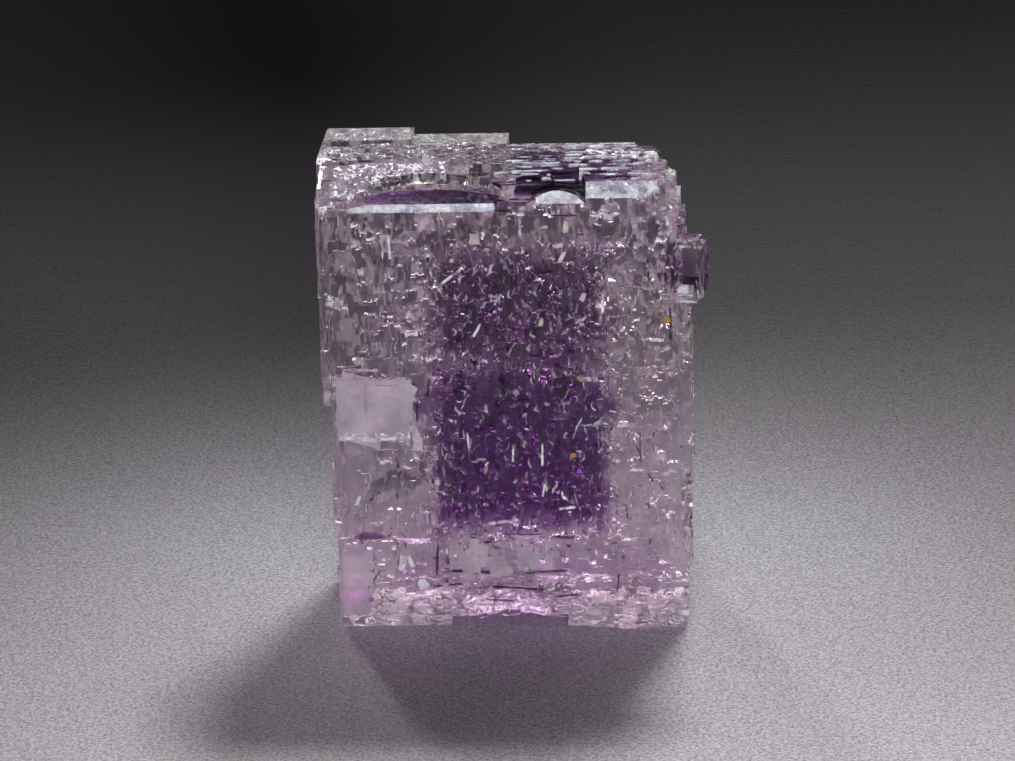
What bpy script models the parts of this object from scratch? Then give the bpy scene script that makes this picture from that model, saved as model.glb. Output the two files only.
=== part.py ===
"""A stepped crystal of clear and purple fluorite, standing on its broken base.

Fluorite grows in cubes. The solid is one tall block, and smaller cubes, ledges and thin plates
have grown on it in the same directions, so nearly every face lies square to X, Y or Z. A few
curved hollows are the shell-shaped breaks that the mineral makes where it is chipped.
All of it is one piece: the growths are joined to the block, and the breaks are cut from it.

X runs to the right, Y to the back and Z up. Lengths are in millimetres until the last step.
"""

import math
import random

import bmesh
import bpy
from mathutils import Euler, Matrix, Vector

MM = 0.001

# The block's six sides
LEFT = -7.75
RIGHT = 8.65
FRONT = -4.25
BACK = 4.25
UNDERSIDE = 0.55
TERRACE = 20.45

# How far every growth is rooted in the block, so that a union has a clear overlap
ROOT = 0.9

# The highest terrace, at the back left
CREST = 22.2
CREST_FRONT = -0.55
CREST_END = 0.45

# The stair of thin layers that falls to the front beside it
STAIR_STEPS = 7
STAIR_LOW = 21.66
STAIR_RISE = 0.065
STAIR_FRONT = -3.35
STAIR_TREAD = 0.78
STAIR_END = 8.05
STAIR_BACK = 2.9

# The three bevels along the front's top edge: the height of each one's lower edge, and its leg
BEVEL_LEFT = (20.73, 0.36)
BEVEL_ARCH = (21.02, 0.5)
BEVEL_RIGHT = (21.26, 0.64)
BEVEL_CUTTER = 1.3

# The small crystal that stands out of the right side
BUD_ACROSS = 2.85
BUD_TIP = 9.95
BUD_BEVEL = 0.62
BUD_TURN = math.radians(-9)
BUD_MIDDLE = (8.5, -3.14, 17.5)

# The flat strips that an arch is made of
ARCH_SIDES = 14

# The broken base stands on feet of this height
FOOT_TOP = 1.4

# The small plates: the random seed, and how much narrower the outer side is, each way
PLATE_SEED = 11
TAPER = 0.06


def clear_scene():
    for old in list(bpy.data.objects):
        bpy.data.objects.remove(old)


def new_collection(name, hidden=False):
    made = bpy.data.collections.new(name)
    made.hide_render = hidden
    bpy.context.scene.collection.children.link(made)
    return made


def link_mesh(name, form, collection):
    """Stores a bmesh as an object of the collection."""
    mesh = bpy.data.meshes.new(name)
    form.to_mesh(mesh)
    form.free()
    made = bpy.data.objects.new(name, mesh)
    collection.objects.link(made)
    if collection.hide_render:
        made.hide_render = True
        made.display_type = "WIRE"
    return made


def box(name, x, y, z, collection, turn=(0, 0, 0), bevel=0.0):
    """A box between the ends of x, y and z, turned about its own middle by degrees."""
    low, high = Vector((x[0], y[0], z[0])), Vector((x[1], y[1], z[1]))
    form = bmesh.new()
    bmesh.ops.create_cube(form, size=1.0)
    bmesh.ops.scale(form, vec=high - low, verts=form.verts)
    if bevel:
        bmesh.ops.bevel(form, geom=form.edges, offset=bevel, segments=1, affect="EDGES")
    place = Euler([math.radians(angle) for angle in turn]).to_matrix().to_4x4()
    form.transform(Matrix.Translation((low + high) / 2) @ place)
    return link_mesh(name, form, collection)


def scoop(name, middle, radii, collection, turn=(0, 0, 0), walls=(), fineness=3):
    """The round hollow of a shell-shaped break, as the ellipsoid that cuts it.

    A wall is a point and a direction: the ellipsoid ends flat there, where the break met a ledge.
    A greater fineness gives the ellipsoid smaller faces.
    """
    form = bmesh.new()
    bmesh.ops.create_icosphere(form, subdivisions=fineness, radius=1.0)
    bmesh.ops.scale(form, vec=radii, verts=form.verts)
    place = Euler([math.radians(angle) for angle in turn]).to_matrix().to_4x4()
    form.transform(Matrix.Translation(middle) @ place)
    for point, outward in walls:
        every = form.verts[:] + form.edges[:] + form.faces[:]
        cut = bmesh.ops.bisect_plane(form, geom=every, plane_co=point, plane_no=outward, clear_outer=True)
        rim = [item for item in cut["geom_cut"] if isinstance(item, bmesh.types.BMEdge)]
        bmesh.ops.contextual_create(form, geom=rim)
    return link_mesh(name, form, collection)


def arched_block(name, x, side_top, middle_top, y, collection):
    """A block whose top is arched from its left to its right end."""
    half = (x[1] - x[0]) / 2
    sagitta = middle_top - side_top
    radius = (half ** 2 + sagitta ** 2) / (2 * sagitta)
    opening = math.asin(half / radius)
    angles = [opening * (2 * number / ARCH_SIDES - 1) for number in range(ARCH_SIDES + 1)]
    rim = [(radius * math.sin(a), middle_top - radius * (1 - math.cos(a))) for a in angles]
    rim = [(-half, side_top - 2 * ROOT)] + rim + [(half, side_top - 2 * ROOT)]
    middle = (x[0] + x[1]) / 2
    form = bmesh.new()
    front = form.faces.new([form.verts.new((middle + across, y[0], up)) for across, up in rim])
    drawn = bmesh.ops.extrude_face_region(form, geom=[front])
    moved = [item for item in drawn["geom"] if isinstance(item, bmesh.types.BMVert)]
    bmesh.ops.translate(form, vec=(0, y[1] - y[0], 0), verts=moved)
    bmesh.ops.recalc_face_normals(form, faces=form.faces)
    return link_mesh(name, form, collection)


def growths_on_the_sides(growths):
    """The large ledges that give the crystal its outline."""
    box("left_ledge", (-8.2, LEFT + ROOT), (-3.9, 3.3), (11.1, 21.05), growths)
    box("left_low_ledge", (-7.95, LEFT + ROOT), (-1.2, 3.9), (1.6, 9.2), growths)
    box("right_ledge", (RIGHT - ROOT, 9.12), (-3.4, 2.6), (6.3, 13.0), growths)
    box("right_strip", (RIGHT - ROOT, 8.85), (-3.7, 1.4), (12.7, 16.2), growths)
    box("right_low_ledge", (RIGHT - ROOT, 8.8), (-3.95, 3.7), (0.3, 5.9), growths)
    box("back_plate_high", (-6.3, 3.4), (BACK - ROOT, 4.72), (10.2, 19.3), growths)
    box("back_plate_low", (-2.1, 7.2), (BACK - ROOT, 4.95), (2.4, 11.7), growths)
    box("back_corner_block", (3.9, 8.0), (BACK - ROOT, 4.62), (11.2, 17.8), growths)


def growths_on_top(growths):
    """The high terrace on the left, and the stair of thin layers on the right."""
    box("crest", (-8.42, CREST_END), (CREST_FRONT, 4.05), (19.5, CREST), growths)
    box("crest_left_arm", (-8.25, -4.9), (-3.5, 1.0), (19.5, 21.95), growths)
    box("crest_window", (-1.85, CREST_END + 0.12), (-1.15, 2.2), (19.6, 22.1), growths)
    box("crest_cap", (-8.3, -4.1), (1.9, 4.2), (20.5, 22.5), growths)
    for step in range(STAIR_STEPS):
        front = STAIR_FRONT + step * STAIR_TREAD
        top = STAIR_LOW + step * STAIR_RISE
        start = CREST_END - 0.6 + 0.23 * (step % 3)
        end = STAIR_END - 0.31 * step + 0.4 * (step % 2)
        box(f"stair_{step}", (start, end), (front, STAIR_BACK - 0.05 * step), (19.6, top), growths)
    box("lip_left", (-6.7, 0.25), (FRONT - 0.22, -0.3), (15.3, 21.09), growths)
    box("lip_middle", (0.32, 1.72), (FRONT - 0.12, -1.2), (18.9, 20.9), growths)
    box("lip_middle_step", (0.55, 1.6), (-1.9, -0.6), (18.9, 21.25), growths)
    box("lip_right", (4.5, 7.82), (FRONT - 0.03, STAIR_FRONT + ROOT), (16.6, 21.9), growths)
    arched_block("lip_arch", (1.74, 4.54), 20.95, 21.52, (FRONT - 0.05, -1.9), growths)
    box("crest_front", (-6.6, -1.1), (-3.95, 1.0), (19.5, 22.1), growths)


def growths_in_front(growths):
    """The blocks and panels that break up the front face."""
    front = FRONT
    inner = FRONT + ROOT
    box("pale_block", (-7.5, -4.05), (front - 0.42, inner), (9.6, 12.6), growths)
    box("pale_block_step", (-6.1, -4.5), (front - 0.56, inner), (10.4, 12.35), growths)
    box("middle_panel", (-3.95, 5.3), (front - 0.26, inner), (4.75, 12.3), growths)
    box("middle_panel_right", (3.55, 6.5), (front - 0.46, inner), (10.3, 12.55), growths)
    box("middle_panel_foot", (5.0, 6.35), (front - 0.33, inner), (5.6, 10.32), growths)
    box("right_column", (6.95, 8.3), (front - 0.2, inner), (0.9, 12.9), growths)
    box("right_column_top", (6.1, 7.6), (front - 0.3, inner), (13.1, 16.2), growths)
    box("upper_panel", (-2.9, 5.1), (front - 0.14, inner), (12.9, 15.9), growths)
    box("upper_left_strip", (-7.4, -6.5), (front - 0.3, inner), (13.2, 18.9), growths)
    box("low_bar_left", (-2.4, 0.55), (front - 0.34, inner), (3.15, 4.3), growths)
    box("low_bar_right", (0.8, 2.5), (front - 0.24, inner), (3.0, 4.15), growths)
    box("low_sill", (-3.1, 3.3), (front - 0.16, inner), (1.15, 2.75), growths)
    box("low_right_block", (3.4, 6.2), (front - 0.38, inner), (0.35, 2.4), growths)
    box("low_left_prism", (-7.6, -6.35), (front - 0.3, inner), (0.75, 4.6), growths)


def feet(growths):
    """What is left of the base: two feet, with the broken underside arching between them."""
    box("left_foot", (-7.7, -2.45), (-4.0, 3.7), (0.0, FOOT_TOP), growths)
    box("right_foot", (3.15, 8.75), (-4.2, 3.5), (0.0, FOOT_TOP), growths)
    box("right_foot_toe", (4.2, 8.7), (-4.4, -2.0), (0.0, 0.9), growths)
    box("back_foot", (-3.6, 1.2), (2.1, 4.0), (0.0, FOOT_TOP), growths)


def bud(growths):
    """The small crystal: a short prism with bevelled edges, which points to the right."""
    half = BUD_ACROSS / 2
    length = BUD_TIP - BUD_MIDDLE[0]
    form = bmesh.new()
    bmesh.ops.create_cube(form, size=1.0)
    bmesh.ops.scale(form, vec=(2 * length, 2 * half, 2 * half), verts=form.verts)
    long_edges = [e for e in form.edges if abs((e.verts[0].co - e.verts[1].co).x) > half / 2]
    bmesh.ops.bevel(form, geom=long_edges, offset=BUD_BEVEL, segments=1, affect="EDGES")
    tip_edges = [e for e in form.edges if all(v.co.x > length * 0.99 for v in e.verts)]
    bmesh.ops.bevel(form, geom=tip_edges, offset=0.22, segments=2, affect="EDGES")
    turned = Matrix.Rotation(BUD_TURN, 4, "Z") @ Matrix.Rotation(math.radians(4), 4, "X")
    form.transform(Matrix.Translation(BUD_MIDDLE) @ turned)
    link_mesh("bud", form, growths)


class Face:
    """A side of the block: its middle, the directions across it, and the way out of it."""

    def __init__(self, name, middle, across, up, out, size):
        self.name = name
        self.middle = Vector(middle)
        self.turn = Matrix((across, out, up)).transposed().to_4x4()
        self.width, self.height = size


def plate(face, across, up, width, height, rise, tilt, name, growths):
    """A thin square plate or small cube on the face, a little narrower at its outer side."""
    form = bmesh.new()
    bmesh.ops.create_cube(form, size=1.0)
    depth = ROOT + rise
    for corner in form.verts:
        outer = corner.co.y > 0
        share = 1.0 - 2 * TAPER / min(width, height) * outer
        corner.co.x *= width * share
        corner.co.z *= height * share
        corner.co.y = rise if outer else rise - depth
    lean = Euler((tilt[0], 0, tilt[1])).to_matrix().to_4x4()
    place = Matrix.Translation(face.middle) @ face.turn @ Matrix.Translation((across, 0, up))
    form.transform(place @ lean)
    bmesh.ops.recalc_face_normals(form, faces=form.faces)
    link_mesh(f"{face.name}_{name}", form, growths)


def scatter_plates(face, count, sizes, rises, rng, growths):
    """Plates of random size and height over a side, longer along Z than across it."""
    for number in range(count):
        width = rng.uniform(*sizes)
        height = width * rng.uniform(0.8, 2.4)
        across = rng.uniform(-0.5, 0.5) * (face.width - width)
        up = rng.uniform(-0.5, 0.5) * (face.height - height)
        tilt = [rng.uniform(-0.02, 0.02) for _ in range(2)]
        rise = rng.uniform(*rises)
        plate(face, across, up, width, height, rise, tilt, f"plate_{number}", growths)


def small_growths(growths):
    """The mosaic of small plates on every side, finest in the middle of the front."""
    rng = random.Random(PLATE_SEED)
    middle_z = (UNDERSIDE + TERRACE) / 2
    tall = TERRACE - UNDERSIDE - 0.6
    wide = RIGHT - LEFT - 0.4
    deep = BACK - FRONT - 0.5
    middle_x = (LEFT + RIGHT) / 2
    x, y, z = Vector((1, 0, 0)), Vector((0, 1, 0)), Vector((0, 0, 1))
    front = Face("front", (middle_x, FRONT, middle_z), -x, z, -y, (wide, tall))
    core = Face("core", (1.0, FRONT - 0.12, 11.3), -x, z, -y, (8.4, 13.6))
    back = Face("back", (middle_x, BACK + 0.12, middle_z), x, z, y, (wide, tall))
    back_high = Face("back_high", (-1.4, 4.7, 14.9), x, z, y, (9.4, 8.6))
    back_low = Face("back_low", (2.5, 4.93, 7.0), x, z, y, (9.0, 9.0))
    left = Face("left", (LEFT - 0.02, 0, middle_z), y, z, -x, (deep, tall))
    left_high = Face("left_high", (-8.2, -0.3, 16.2), y, z, -x, (6.8, 9.4))
    right = Face("right", (RIGHT + 0.08, 0, middle_z), -y, z, x, (deep, tall))
    right_high = Face("right_high", (9.1, -0.4, 9.8), -y, z, x, (5.8, 6.4))
    top = Face("top", (4.3, -0.3, STAIR_LOW + 0.15), x, -y, z, (6.6, 5.4))
    crest = Face("crest", (-3.9, 1.9, CREST), x, -y, z, (7.6, 3.6))
    scatter_plates(front, 64, (0.5, 1.9), (0.05, 0.36), rng, growths)
    scatter_plates(core, 130, (0.3, 0.95), (0.06, 0.4), rng, growths)
    scatter_plates(back, 70, (0.5, 2.2), (0.05, 0.4), rng, growths)
    scatter_plates(back_high, 24, (0.4, 1.8), (0.05, 0.22), rng, growths)
    scatter_plates(back_low, 28, (0.4, 1.8), (0.05, 0.2), rng, growths)
    scatter_plates(left, 40, (0.4, 1.7), (0.03, 0.16), rng, growths)
    scatter_plates(left_high, 16, (0.4, 1.4), (0.04, 0.16), rng, growths)
    scatter_plates(right, 40, (0.4, 1.7), (0.05, 0.34), rng, growths)
    scatter_plates(right_high, 16, (0.4, 1.3), (0.04, 0.14), rng, growths)
    scatter_plates(top, 24, (0.5, 1.6), (0.02, 0.16), rng, growths)
    scatter_plates(crest, 16, (0.4, 1.3), (0.02, 0.16), rng, growths)


def front_bevel(name, x, front, bevel, cutters):
    """Cuts the edge between a front and the top off at 45 degrees."""
    lower, leg = bevel
    away = BEVEL_CUTTER / 2 / math.sqrt(2)
    y = front + leg / 2 - away
    z = lower + leg / 2 + away
    half = BEVEL_CUTTER / 2
    box(name, x, (y - half, y + half), (z - half, z + half), cutters, (45, 0, 0))


def breaks(cutters):
    """The chips: bevelled edges, broken corners, and hollows shaped like the inside of a shell."""
    front_bevel("bevel_left", (-7.0, 0.28), FRONT - 0.22, BEVEL_LEFT, cutters)
    front_bevel("bevel_arch", (1.73, 4.5), FRONT - 0.05, BEVEL_ARCH, cutters)
    front_bevel("bevel_right", (4.5, 8.1), FRONT - 0.03, BEVEL_RIGHT, cutters)
    lens_floor = (((0, 0, 21.04), (0, 0, -1)),)
    scoop("lens", (-3.0, -4.6, 21.5), (3.9, 3.1, 1.6), cutters, walls=lens_floor, fineness=4)
    box("crest_front_slope", (-5.8, -0.95), (-6.0, -0.5), (21.38, 23.38), cutters, (16, 0, 0))
    box("right_top_edge", (7.95, 10.0), (-6.2, -3.35), (16.2, 23.0), cutters, (0, 0, 38))
    box("right_top_side", (8.46, 10.0), (-6.0, 6.0), (19.4, 23.0), cutters)
    box("back_corner", (6.5, 11.5), (-1.2, 7.5), (20.6, 24.4), cutters, (-18, 32, 0))
    box("crest_slope", (-10.5, -5.2), (-6.6, 0.9), (21.35, 24.0), cutters, (19, -6, 0))
    ledges = (((-3.35, 0, 0), (1, 0, 0)), ((0, 0, 4.35), (0, 0, -1)))
    scoop("left_shell", (-3.6, -4.95, 4.5), (4.1, 1.3, 4.35), cutters, (0, 4, 0), ledges)
    scoop("back_shell", (-5.2, 5.7, 6.1), (3.0, 1.9, 3.4), cutters, (0, -15, 0))
    scoop("right_shell", (9.6, 1.6, 4.2), (1.25, 2.0, 2.4), cutters)
    scoop("underside_arch", (0.4, -1.0, -0.75), (3.4, 6.5, 1.75), cutters, (0, 2, 8))
    scoop("low_edge_chip", (8.9, -4.9, 5.7), (0.9, 0.9, 1.4), cutters)


def joined(block, growths, cutters):
    """The block with its growths joined on and its breaks cut out, as one plain mesh."""
    for operation, collection in (("UNION", growths), ("DIFFERENCE", cutters)):
        step = block.modifiers.new(operation.lower(), "BOOLEAN")
        step.operation = operation
        step.operand_type = "COLLECTION"
        step.collection = collection
    graph = bpy.context.evaluated_depsgraph_get()
    whole = bpy.data.meshes.new_from_object(block.evaluated_get(graph))
    block.modifiers.clear()
    block.data = whole
    for helper in list(growths.objects) + list(cutters.objects):
        bpy.data.objects.remove(helper)
    return block


def stand_at_origin(crystal):
    """Puts the middle of the crystal's base at the origin and turns millimetres into metres."""
    points = [vertex.co for vertex in crystal.data.vertices]
    low = Vector(min(point[axis] for point in points) for axis in range(3))
    high = Vector(max(point[axis] for point in points) for axis in range(3))
    base = Vector(((low.x + high.x) / 2, (low.y + high.y) / 2, low.z))
    crystal.data.transform(Matrix.Scale(MM, 4) @ Matrix.Translation(-base))


def fluorite():
    """Clear lilac crystal, glossy, which bends light as fluorite does."""
    made = bpy.data.materials.new("fluorite")
    made.use_nodes = True
    shader = made.node_tree.nodes["Principled BSDF"]
    shader.inputs["Base Color"].default_value = (0.55, 0.45, 0.62, 1.0)
    shader.inputs["Roughness"].default_value = 0.08
    shader.inputs["Metallic"].default_value = 0.0
    shader.inputs["IOR"].default_value = 1.434
    shader.inputs["Transmission Weight"].default_value = 1.0
    return made


def main():
    clear_scene()
    specimen = new_collection("fluorite_specimen")
    growths = new_collection("growths", hidden=True)
    cutters = new_collection("cutters", hidden=True)
    sides = ((LEFT, RIGHT), (FRONT, BACK), (UNDERSIDE, TERRACE))
    crystal = box("fluorite_crystal", *sides, specimen)
    growths_on_the_sides(growths)
    growths_on_top(growths)
    growths_in_front(growths)
    feet(growths)
    bud(growths)
    small_growths(growths)
    breaks(cutters)
    joined(crystal, growths, cutters)
    stand_at_origin(crystal)
    crystal.data.materials.clear()
    crystal.data.materials.append(fluorite())


main()
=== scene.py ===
# %% [markdown]
# # A crystal of clear and purple fluorite
#
# Fluorite grows in cubes. This crystal is a tall block, nearly clear at its rim and purple in its
# middle, and its sides are a mosaic of small flat growth steps. The model that was made before it
# gives the outline at real size. Here we give it the fine steps, the colour and the light.
#
# The first cell loads that model. Everything is in metres, so a millimetre gets a name.

# %% The frame

import math
import random

import bmesh
import bpy
from mathutils import Matrix, Vector


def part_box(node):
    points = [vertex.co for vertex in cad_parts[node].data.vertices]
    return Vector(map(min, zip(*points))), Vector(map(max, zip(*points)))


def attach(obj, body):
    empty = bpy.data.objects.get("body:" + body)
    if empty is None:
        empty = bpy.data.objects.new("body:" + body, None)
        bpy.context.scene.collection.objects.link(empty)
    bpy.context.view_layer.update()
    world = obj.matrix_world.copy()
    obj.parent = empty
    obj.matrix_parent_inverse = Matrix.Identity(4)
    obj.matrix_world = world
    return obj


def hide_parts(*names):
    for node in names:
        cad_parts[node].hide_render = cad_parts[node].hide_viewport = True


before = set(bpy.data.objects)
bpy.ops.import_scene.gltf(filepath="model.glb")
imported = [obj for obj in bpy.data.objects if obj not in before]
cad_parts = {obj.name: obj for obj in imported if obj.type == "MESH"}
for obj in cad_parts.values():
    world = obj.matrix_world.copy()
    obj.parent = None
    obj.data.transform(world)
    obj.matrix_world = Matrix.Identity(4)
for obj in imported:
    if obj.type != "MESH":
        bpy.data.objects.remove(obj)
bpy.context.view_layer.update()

MM = 0.001
low, high = (Vector(corner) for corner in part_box("fluorite_crystal"))
size = high - low
print("crystal, in mm:", [round(length / MM, 1) for length in size])

# %% [markdown]
# ## Places on the crystal
#
# The photograph was measured on a grid that has its zero in the middle of the block's front. The
# small crystal's tip is 9.95 mm to the right of that zero, and the frontmost step is 4.81 mm in
# front of it. So we can find the same zero on the loaded model, and give every place in
# millimetres to the right, to the back and up.

# %% A place in the crystal's own millimetres

TIP_RIGHT = 9.95
FRONTMOST = -4.81
ZERO = Vector((high.x - TIP_RIGHT * MM, low.y - FRONTMOST * MM, 0.0))


def place(right, back, up):
    """A point given in millimetres from the zero of the measuring grid, in metres."""
    return ZERO + Vector((right, back, up)) * MM


print("zero of the grid, in mm:", [round(value / MM, 3) for value in ZERO])

# %% [markdown]
# ## The camera
#
# The picture was taken with a long lens from a little above, with the camera tipped by not quite
# two degrees. The distance is a guess, and the lens follows from it: at that distance one pixel
# covers the same 0.048 mm that the size was worked out from.

# %% The camera

IMAGE_WIDTH = 1015
PIXEL = 0.048 * MM
DISTANCE = 240 * MM
SENSOR = 36.0
TURN_RIGHT = math.radians(4.0)
LOOK_DOWN = math.radians(18.0)
TIP = math.radians(-1.8)
AIM = place(0.12, 0.0, 11.0)


def photo_camera():
    """A camera at the photograph's angle, aimed at the middle of the crystal."""
    data = bpy.data.cameras.new("photo_camera")
    data.sensor_width = SENSOR
    data.lens = SENSOR * DISTANCE / PIXEL / IMAGE_WIDTH
    data.clip_start = 0.01
    camera = bpy.data.objects.new("photo_camera", data)
    bpy.context.scene.collection.objects.link(camera)
    out = Vector((math.sin(TURN_RIGHT) * math.cos(LOOK_DOWN),
                  -math.cos(TURN_RIGHT) * math.cos(LOOK_DOWN),
                  math.sin(LOOK_DOWN)))
    level = Vector((math.cos(TURN_RIGHT), math.sin(TURN_RIGHT), 0))
    upright = out.cross(level)
    right = level * math.cos(TIP) + upright * math.sin(TIP)
    up = upright * math.cos(TIP) - level * math.sin(TIP)
    pose = Matrix((right, up, out)).transposed().to_4x4()
    pose.translation = AIM + out * DISTANCE
    camera.matrix_world = pose
    bpy.context.scene.camera = camera
    return camera


camera = photo_camera()
print("lens, in mm:", round(camera.data.lens, 1))

# %% [markdown]
# ## Nodes in one line
#
# Both the geometry trees and the materials below are built from nodes. One helper adds a node,
# sets its options, and fills or links its inputs. Others start a tree with named inputs, put it on
# a piece as a modifier, and turn what comes out into a plain mesh.

# %% Helpers for node trees and pieces


def add(tree, kind, inputs=None, **options):
    """Adds a node. Each input is a plain value, or another node's output to link from."""
    made = tree.nodes.new(kind)
    for name, value in options.items():
        setattr(made, name, value)
    for key, value in (inputs or {}).items():
        if isinstance(value, bpy.types.NodeSocket):
            tree.links.new(value, made.inputs[key])
        else:
            made.inputs[key].default_value = value
    return made


def math_node(tree, operation, first, second=0.0):
    """One step of arithmetic on two numbers."""
    return add(tree, "ShaderNodeMath", {0: first, 1: second}, operation=operation).outputs[0]


def vector_node(tree, operation, first, second=(0.0, 0.0, 0.0)):
    """One step of arithmetic on two vectors."""
    made = add(tree, "ShaderNodeVectorMath", {0: first, 1: second}, operation=operation)
    return made.outputs[0]


def scaled(tree, vector, factor):
    """A vector made longer or shorter."""
    made = add(tree, "ShaderNodeVectorMath", {0: vector, "Scale": factor}, operation="SCALE")
    return made.outputs[0]


def random_node(tree, kind, lowest, highest, seed):
    """A random number or vector for each point, between two values."""
    first = {"FLOAT": 2, "FLOAT_VECTOR": 0, "INT": 4}[kind]
    made = add(tree, "FunctionNodeRandomValue",
               {first: lowest, first + 1: highest, "Seed": seed}, data_type=kind)
    return made.outputs[first // 2]


def geometry_tree(name, **inputs):
    """A tree that changes a mesh, with named inputs of each kind. Gives the tree and its inputs."""
    tree = bpy.data.node_groups.new(name, "GeometryNodeTree")
    for in_out in ("INPUT", "OUTPUT"):
        tree.interface.new_socket(name="Geometry", in_out=in_out, socket_type="NodeSocketGeometry")
    for kind, titles in inputs.items():
        for title in titles:
            tree.interface.new_socket(name=title, in_out="INPUT", socket_type="NodeSocket" + kind)
    return tree, add(tree, "NodeGroupInput").outputs


def fill_in(piece, name, tree, values):
    """Adds a tree as a modifier and fills its named inputs by their identifiers."""
    modifier = piece.modifiers.new(name, "NODES")
    modifier.node_group = tree
    for item in tree.interface.items_tree:
        if item.in_out == "INPUT" and item.name in values:
            modifier[item.identifier] = values[item.name]


def belongs(made):
    """Rides on the crystal's body."""
    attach(made, "root")
    return made


def empty_piece(name, mesh):
    """A new object for a mesh, in the scene."""
    made = bpy.data.objects.new(name, mesh)
    bpy.context.scene.collection.objects.link(made)
    return made


def from_form(form, name, material=None):
    """Turns a bmesh into an object, and gives it its material."""
    mesh = bpy.data.meshes.new(name)
    form.to_mesh(mesh)
    form.free()
    if material:
        mesh.materials.append(material)
    return empty_piece(name, mesh)


def finished(piece, name):
    """The piece as its modifiers leave it, as a plain mesh in a new object."""
    graph = bpy.context.evaluated_depsgraph_get()
    mesh = bpy.data.meshes.new_from_object(piece.evaluated_get(graph))
    mesh.name = name
    made = empty_piece(name, mesh)
    bpy.data.objects.remove(piece)
    mesh.calc_loop_triangles()
    print(name, "has", len(mesh.loop_triangles), "triangles")
    return made


# %% [markdown]
# ## Frost and fine grain
#
# Between the steps that we can model, the faces carry finer ones that only a shader can hold. One
# node group serves every stone material here. It cuts the stone's own millimetres into small upright
# bricks, gives each a random lean as a bump, and puts out a roughness, so that some bricks are clear
# and some are etched dull. The back is more etched than the front.

# %% The group for the stone's skin

WANDER = 1.2  # how far the rows of bricks wander, in millimetres
COLUMN_SHIFT = 7.0  # the most that one column of bricks slides up, in bricks
BACK_BEGINS, BACK_COMPLETE = 1.5, 3.0  # millimetres behind the middle


def skin_group():
    """Upright bricks with a random lean as a height, and a roughness for each."""
    tree = bpy.data.node_groups.new("stone_skin", "ShaderNodeTree")
    sockets = tree.interface
    for name, value in (("Brick Width", 0.22), ("Brick Height", 0.5), ("Lean", 0.5), ("Clear", 0.04),
                        ("Etched", 0.35), ("Back Clear", 0.1), ("Back Etched", 0.5), ("Back Lean", 2.0)):
        socket = sockets.new_socket(name=name, in_out="INPUT", socket_type="NodeSocketFloat")
        socket.default_value = value
    sockets.new_socket(name="Height", in_out="OUTPUT", socket_type="NodeSocketFloat")
    sockets.new_socket(name="Roughness", in_out="OUTPUT", socket_type="NodeSocketFloat")
    given = add(tree, "NodeGroupInput").outputs
    where = add(tree, "ShaderNodeTexCoord").outputs["Object"]
    in_mm = scaled(tree, where, 1 / MM)
    wobble = add(tree, "ShaderNodeTexNoise", {"Vector": in_mm, "Scale": 0.35, "Detail": 2.0})
    nudge = vector_node(tree, "SUBTRACT", wobble.outputs["Color"], (0.5, 0.5, 0.5))
    nudged = vector_node(tree, "ADD", in_mm, scaled(tree, nudge, WANDER))
    brick = add(tree, "ShaderNodeCombineXYZ", {
        "X": given["Brick Width"], "Y": given["Brick Width"], "Z": given["Brick Height"]}).outputs[0]
    in_bricks = vector_node(tree, "DIVIDE", nudged, brick)
    column = vector_node(tree, "FLOOR", vector_node(tree, "MULTIPLY", in_bricks, (1, 1, 0)))
    shift = add(tree, "ShaderNodeTexWhiteNoise", {"Vector": column}, noise_dimensions="3D").outputs["Value"]
    slid = math_node(tree, "MULTIPLY", shift, COLUMN_SHIFT)
    lift = add(tree, "ShaderNodeCombineXYZ", {"Z": slid}).outputs[0]
    laid = vector_node(tree, "ADD", in_bricks, lift)
    number = vector_node(tree, "FLOOR", laid)
    inside = vector_node(tree, "SUBTRACT", vector_node(tree, "FRACTION", laid), (0.5, 0.5, 0.5))
    chance = add(tree, "ShaderNodeTexWhiteNoise", {"Vector": number}, noise_dimensions="3D")
    leaning = vector_node(tree, "SUBTRACT", chance.outputs["Color"], (0.5, 0.5, 0.5))
    slope = add(tree, "ShaderNodeVectorMath", {
        0: leaning, 1: inside}, operation="DOT_PRODUCT").outputs["Value"]
    raised = math_node(tree, "ADD", math_node(tree, "MULTIPLY", slope, 2.0), chance.outputs["Value"])
    depth = add(tree, "ShaderNodeSeparateXYZ", {0: in_mm}).outputs["Y"]
    behind = add(tree, "ShaderNodeMapRange", {
        "Value": depth, "From Min": BACK_BEGINS, "From Max": BACK_COMPLETE}).outputs[0]
    lean = add(tree, "ShaderNodeMix", {
        "Factor": behind, 2: given["Lean"], 3: given["Back Lean"]}, data_type="FLOAT")
    height = math_node(tree, "MULTIPLY", raised, lean.outputs[0])
    patches = add(tree, "ShaderNodeTexNoise", {"Vector": in_mm, "Scale": 0.6, "Detail": 4.0}).outputs["Fac"]
    dull = add(tree, "ShaderNodeMapRange", {"Value": patches, "From Min": 0.42, "From Max": 0.62}).outputs[0]
    dull = math_node(tree, "MULTIPLY", dull, chance.outputs["Value"])
    front = add(tree, "ShaderNodeMapRange", {
        "Value": dull, "To Min": given["Clear"], "To Max": given["Etched"]}).outputs[0]
    picked = add(tree, "ShaderNodeMapRange", {
        "Value": chance.outputs["Value"], "From Min": 0.35, "From Max": 0.65,
        "To Min": given["Back Clear"], "To Max": given["Back Etched"]}).outputs[0]
    mixed = add(tree, "ShaderNodeMix", {"Factor": behind, 2: front, 3: picked}, data_type="FLOAT")
    add(tree, "NodeGroupOutput", {"Height": height, "Roughness": mixed.outputs[0]})
    return tree


skin = skin_group()

# %% [markdown]
# ## A cloudy blend of two colours
#
# No face of the stone is quite even. This small group blends two colours in soft clouds, and the
# stones of the surface and the pale marks take their colour from it.

# %% The group for the clouds


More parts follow.
